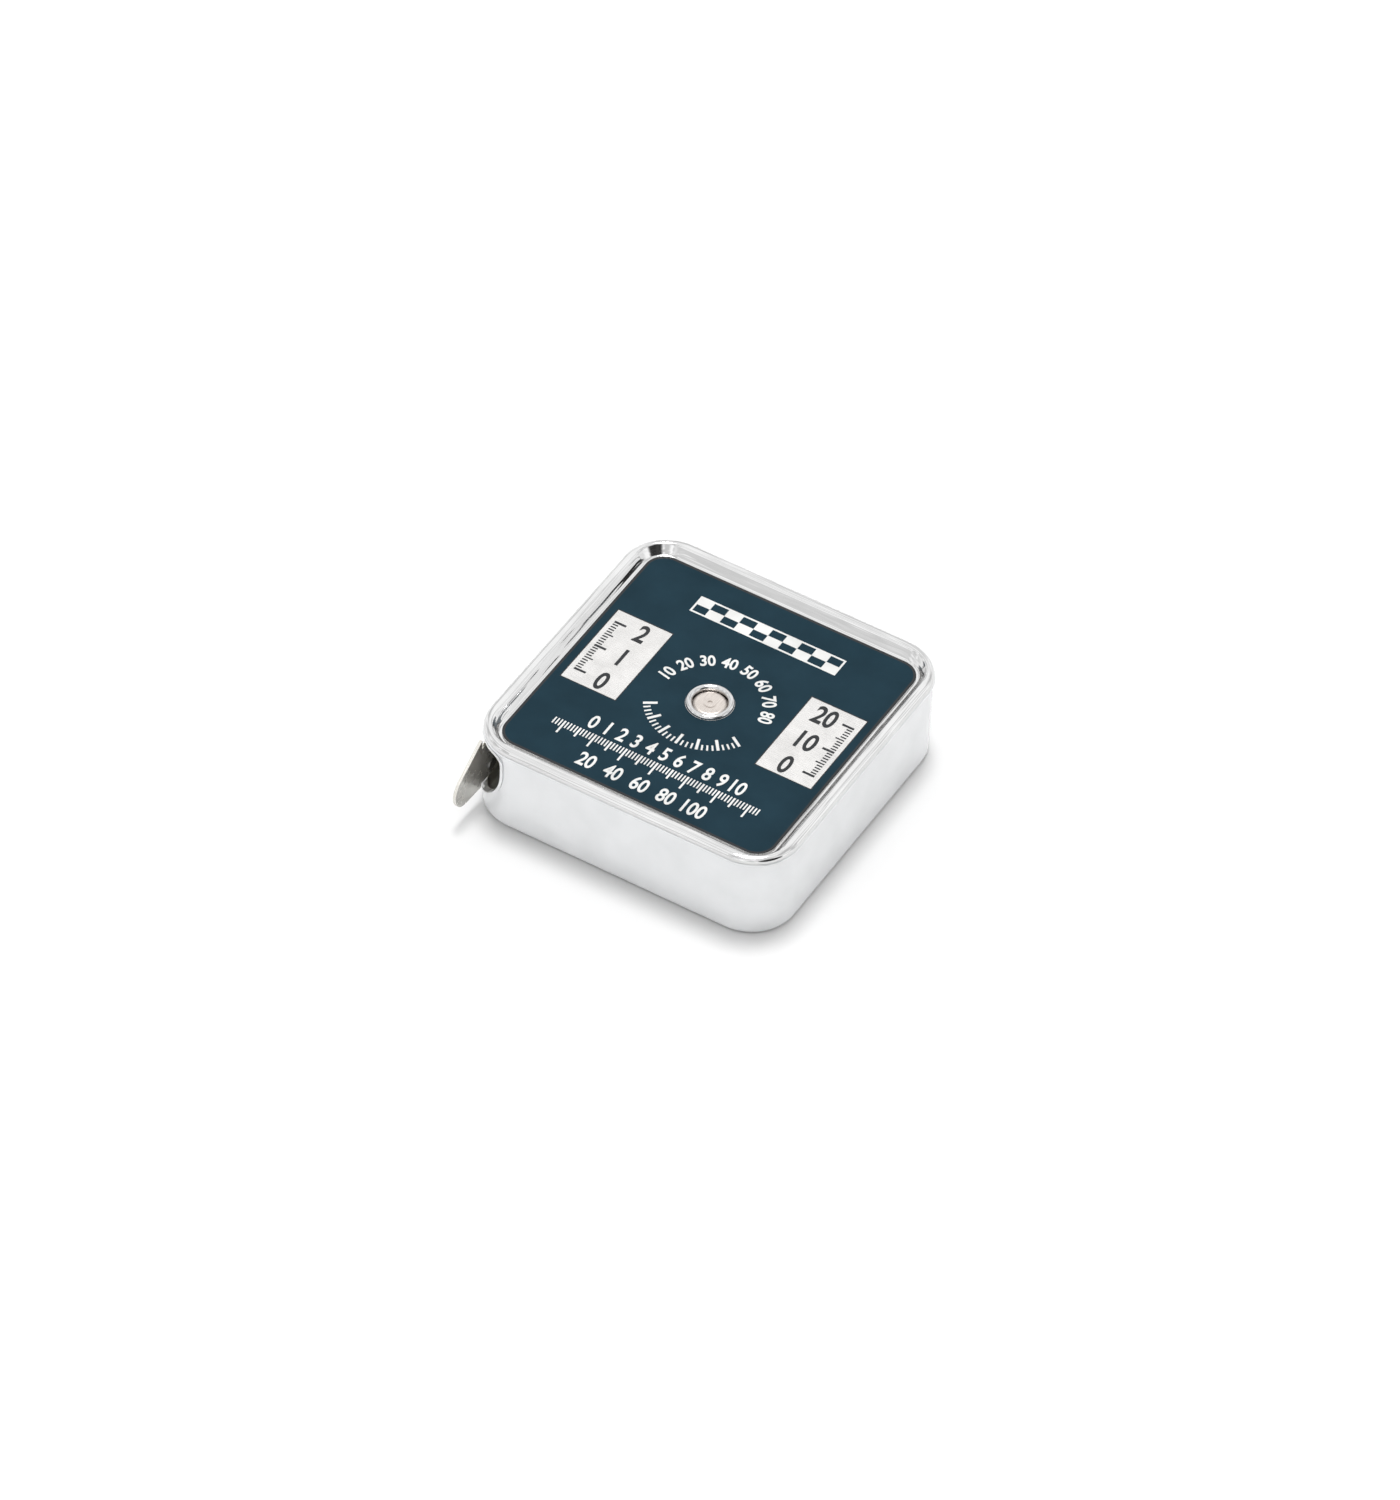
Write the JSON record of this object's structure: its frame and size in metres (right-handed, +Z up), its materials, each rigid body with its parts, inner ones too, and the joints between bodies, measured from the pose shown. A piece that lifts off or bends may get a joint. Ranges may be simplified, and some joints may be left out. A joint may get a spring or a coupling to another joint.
{
  "type": "tape measure",
  "caption": "Square pocket steel tape measure: plated case, printed label plate, pull tab, spring drum and centre release button.",
  "frame": {"origin": "middle of the case's underside, on the axis of the drum and the button", "axes": "+Z up through the label, +X to the label's right, +Y to the label's top; the blade comes out towards -Y along the left wall"},
  "size_m": [0.05, 0.0539, 0.015],
  "materials": {
    "case_chrome": "polished nickel-chrome plate",
    "cover_chrome": "polished nickel-chrome plate",
    "label_print": "printed sheet metal, semi-gloss",
    "collar_bright": "bright plated eyelet",
    "button_steel": "satin, slightly warm",
    "screw_steel": "turned, slotted",
    "post_brass": "turned",
    "washer_nylon": "natural nylon",
    "drum_steel": "plain pressed sheet",
    "spring_steel": "blued spring strip",
    "brake_steel": "pressed strip",
    "brake_pad": "moulded friction pad",
    "tape_enamel": "enamelled steel strip, printed scale",
    "tab_steel": "bright folded sheet"
  },
  "bodies": {
    "case": {"case_body": "case_chrome", "top_cover": "cover_chrome", "label_plate": "label_print", "button_collar": "collar_bright", "corner_posts": "post_brass", "case_screws": "screw_steel", "centre_post": "post_brass", "post_washer": "screw_steel", "thrust_washer": "washer_nylon", "brake_bracket": "brake_steel", "brake_pin": "screw_steel", "brake_spring": "spring_steel"},
    "reel": {"drum": "drum_steel", "drum_cover": "drum_steel", "cover_rivets": "screw_steel", "hub_bush": "post_brass", "power_spring": "spring_steel", "spring_anchor": "screw_steel", "tape_clip": "drum_steel", "tape_coil": "tape_enamel"},
    "blade": {"tape_blade": "tape_enamel", "end_tab": "tab_steel", "tab_rivets": "screw_steel"},
    "button": {"button_cap": "button_steel", "button_stem": "button_steel"},
    "brake": {"brake_arm": "brake_steel", "brake_shoe": "brake_pad", "shoe_rivets": "post_brass"}
  },
  "joints": [
    {"name": "reel_spin", "type": "hinge", "parent": "case", "child": "reel", "pos_m": [0, 0, 0], "axis": [0, 0, 1], "range_deg": [0, 5060]},
    {"name": "blade_slide", "type": "slide", "parent": "case", "child": "blade", "axis": [0, -1, 0], "range_m": [0, 1.992]},
    {"name": "button_press", "type": "slide", "parent": "case", "child": "button", "axis": [0, 0, -1], "range_m": [0, 0.0006], "stiffness_N_per_m": 1500, "springref_m": -0.0004},
    {"name": "brake_tilt", "type": "hinge", "parent": "case", "child": "brake", "pos_m": [0.01, 0, 0.0122], "axis": [0, -1, 0], "range_deg": [0, 3.5], "deforming": ["brake_spring"]}
  ],
  "couplings": [
    {"joint": "blade_slide", "follows": "reel_spin", "m_per_rad": 0.02255},
    {"joint": "brake_tilt", "follows": "button_press", "rad_per_m": 100}
  ]
}
